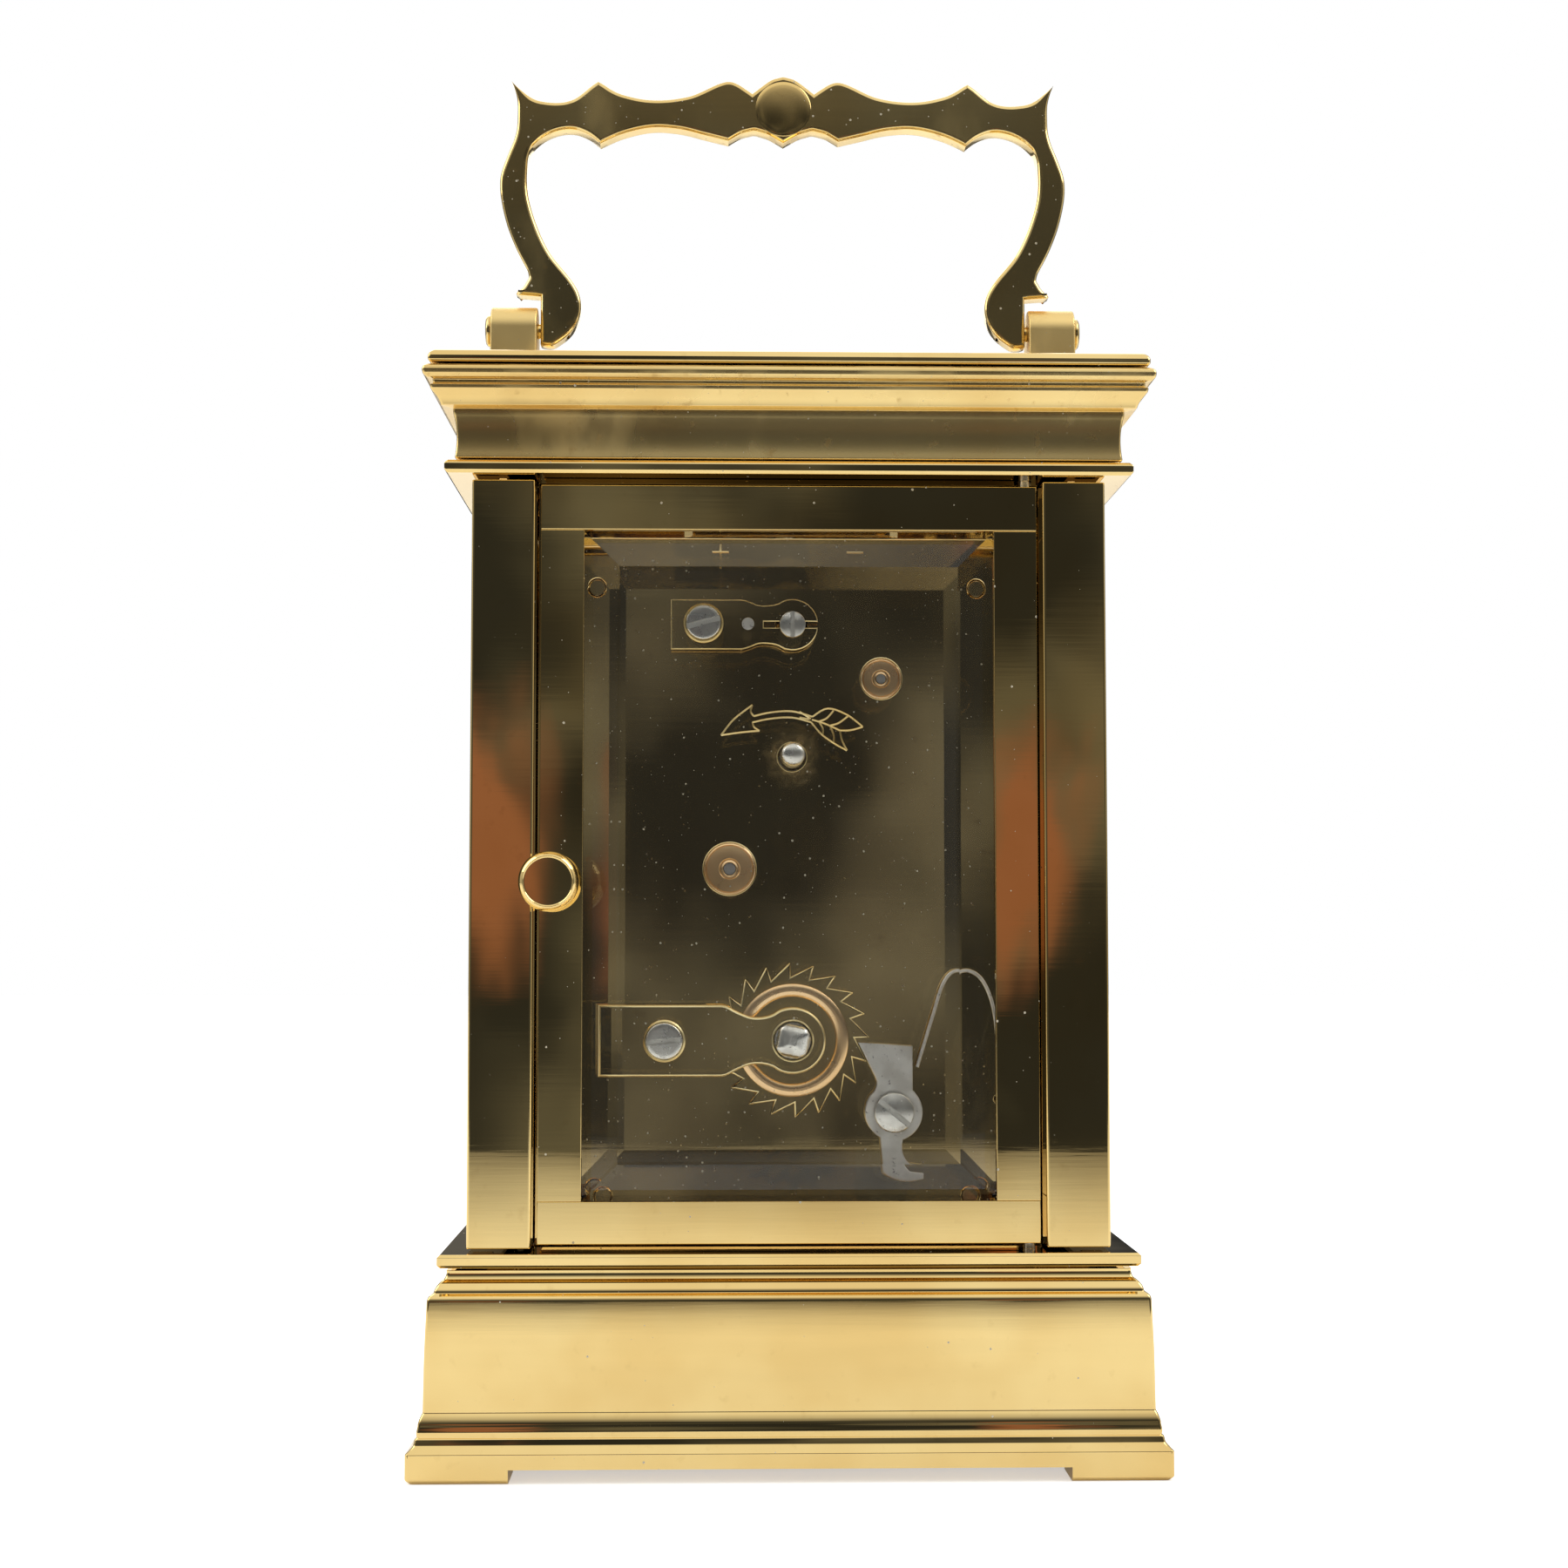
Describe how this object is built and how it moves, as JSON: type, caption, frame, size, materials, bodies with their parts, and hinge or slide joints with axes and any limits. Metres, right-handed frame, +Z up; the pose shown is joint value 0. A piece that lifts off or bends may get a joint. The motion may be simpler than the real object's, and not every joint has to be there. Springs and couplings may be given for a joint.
{
  "type": "carriage clock",
  "caption": "Brass and glass carriage clock with a hinged rear door, folding handle, visible winding work, lever platform movement and enamel dial.",
  "frame": {"origin": "on the ground at the centre of the feet", "axes": "+Z up; the dial faces -Y and the rear door faces +Y; +X is to the left when seen from behind"},
  "size_m": [0.0852, 0.0738, 0.1717],
  "materials": {
    "polished_brass": "mirror polished and lacquered",
    "movement_brass": "polished, lightly stained",
    "steel": "polished steel",
    "blued_steel": "heat blued",
    "clear_glass": "polished with bevelled edges",
    "white_enamel": "vitreous enamel"
  },
  "bodies": {
    "case": {"base_moulding": "polished_brass", "base_top_plate": "polished_brass", "case_pillar_front_left": "polished_brass", "case_pillar_front_right": "polished_brass", "case_pillar_rear_left": "polished_brass", "case_pillar_rear_right": "polished_brass", "cornice_plate": "polished_brass", "crown_moulding": "polished_brass", "top_plate": "polished_brass", "top_glass": "clear_glass", "front_glass": "clear_glass", "side_glass_left": "clear_glass", "side_glass_right": "clear_glass", "handle_lug_left": "polished_brass", "handle_lug_right": "polished_brass", "handle_pin_left": "steel", "handle_pin_right": "steel", "back_plate": "movement_brass", "front_plate": "movement_brass", "movement_pillar_lower_left": "movement_brass", "movement_pillar_lower_right": "movement_brass", "movement_pillar_upper_left": "movement_brass", "movement_pillar_upper_right": "movement_brass", "winding_cock": "movement_brass", "winding_cock_screw": "steel", "click_screw": "steel", "click_spring": "steel", "contrate_cock": "movement_brass", "contrate_cock_screw": "steel", "contrate_end_screw": "steel", "platform_plate": "movement_brass", "balance_cock": "movement_brass", "dial": "white_enamel"},
    "rear_door": {"rear_door_frame": "polished_brass", "rear_door_glass": "clear_glass", "door_knob": "polished_brass", "door_pin_bottom": "steel", "door_pin_top": "steel"},
    "handle": {"handle": "polished_brass"},
    "barrel": {"barrel": "movement_brass", "barrel_cap": "movement_brass", "mainspring": "blued_steel"},
    "winding_arbor": {"barrel_arbor": "steel", "ratchet_wheel": "movement_brass"},
    "click": {"click": "steel"},
    "intermediate": {"intermediate_wheel": "movement_brass"},
    "centre": {"centre_wheel": "movement_brass"},
    "third": {"third_wheel": "movement_brass"},
    "contrate": {"contrate_wheel": "movement_brass"},
    "escape": {"escape_wheel": "steel"},
    "lever": {"pallet_lever": "steel"},
    "balance": {"balance_wheel": "movement_brass", "hairspring": "blued_steel"},
    "regulator": {"regulator_index": "steel"},
    "minute_work": {"set_arbor": "steel", "minute_hand": "blued_steel"},
    "motion_wheel": {"minute_wheel": "movement_brass"},
    "hour_work": {"hour_wheel": "movement_brass", "hour_hand": "blued_steel"}
  },
  "joints": [
    {"name": "rear_door_hinge", "type": "hinge", "parent": "case", "child": "rear_door", "pos_m": [-0.02755, 0.0293, 0.06885], "axis": [0, 0, 1], "range_deg": [0, 100]},
    {"name": "handle_fold", "type": "hinge", "parent": "case", "child": "handle", "pos_m": [0, 0, 0.1383], "axis": [1, 0, 0], "range_deg": [-105, 105]},
    {"name": "winding_turn", "type": "hinge", "parent": "case", "child": "winding_arbor", "pos_m": [-0.0006, 0, 0.0481], "axis": [0, 1, 0], "range_deg": [0, 2592]},
    {"name": "click_swing", "type": "hinge", "parent": "case", "child": "click", "pos_m": [-0.0126, 0.02, 0.0396], "axis": [0, -1, 0], "range_deg": [0, 11], "stiffness_Nm_per_rad": 0.004, "springref_deg": -17.19, "deforming": ["click_spring"]},
    {"name": "contrate_turn", "type": "hinge", "parent": "case", "child": "contrate", "pos_m": [-0.0006, 0, 0.09745], "axis": [0, 1, 0], "continuous": true},
    {"name": "third_turn", "type": "hinge", "parent": "case", "child": "third", "pos_m": [-0.0113, 0, 0.09125], "axis": [0, 1, 0], "continuous": true},
    {"name": "centre_turn", "type": "hinge", "parent": "case", "child": "centre", "pos_m": [-0.0006, 0, 0.0818], "axis": [0, 1, 0], "continuous": true},
    {"name": "intermediate_turn", "type": "hinge", "parent": "case", "child": "intermediate", "pos_m": [0.00685, 0, 0.0684], "axis": [0, 1, 0], "continuous": true},
    {"name": "barrel_turn", "type": "hinge", "parent": "case", "child": "barrel", "pos_m": [-0.0006, 0, 0.0481], "axis": [0, 1, 0], "continuous": true},
    {"name": "escape_turn", "type": "hinge", "parent": "case", "child": "escape", "pos_m": [-0.0006, 0.00354, 0.1105], "axis": [0, 0, 1], "continuous": true},
    {"name": "lever_rock", "type": "hinge", "parent": "case", "child": "lever", "pos_m": [-0.0006, -0.00116, 0.1105], "axis": [0, 0, 1], "range_deg": [-5, 5]},
    {"name": "balance_swing", "type": "hinge", "parent": "case", "child": "balance", "pos_m": [-0.0006, -0.00676, 0.113], "axis": [0, 0, 1], "range_deg": [-150, 150]},
    {"name": "regulator_turn", "type": "hinge", "parent": "case", "child": "regulator", "pos_m": [-0.0006, -0.00676, 0.117], "axis": [0, 0, 1], "range_deg": [-20, 20]},
    {"name": "minute_turn", "type": "hinge", "parent": "case", "child": "minute_work", "pos_m": [-0.0006, 0, 0.0818], "axis": [0, 1, 0], "continuous": true},
    {"name": "motion_wheel_turn", "type": "hinge", "parent": "case", "child": "motion_wheel", "pos_m": [-0.0006, 0, 0.0738], "axis": [0, 1, 0], "continuous": true},
    {"name": "hour_turn", "type": "hinge", "parent": "case", "child": "hour_work", "pos_m": [-0.0006, 0, 0.0818], "axis": [0, 1, 0], "continuous": true}
  ],
  "couplings": [
    {"joint": "third_turn", "follows": "contrate_turn", "ratio": -0.125},
    {"joint": "centre_turn", "follows": "contrate_turn", "ratio": 0.016667},
    {"joint": "intermediate_turn", "follows": "contrate_turn", "ratio": -0.0027778},
    {"joint": "barrel_turn", "follows": "contrate_turn", "ratio": 0.00046296},
    {"joint": "escape_turn", "follows": "contrate_turn", "ratio": -8},
    {"joint": "motion_wheel_turn", "follows": "minute_turn", "ratio": -0.33333},
    {"joint": "hour_turn", "follows": "minute_turn", "ratio": 0.083333}
  ]
}
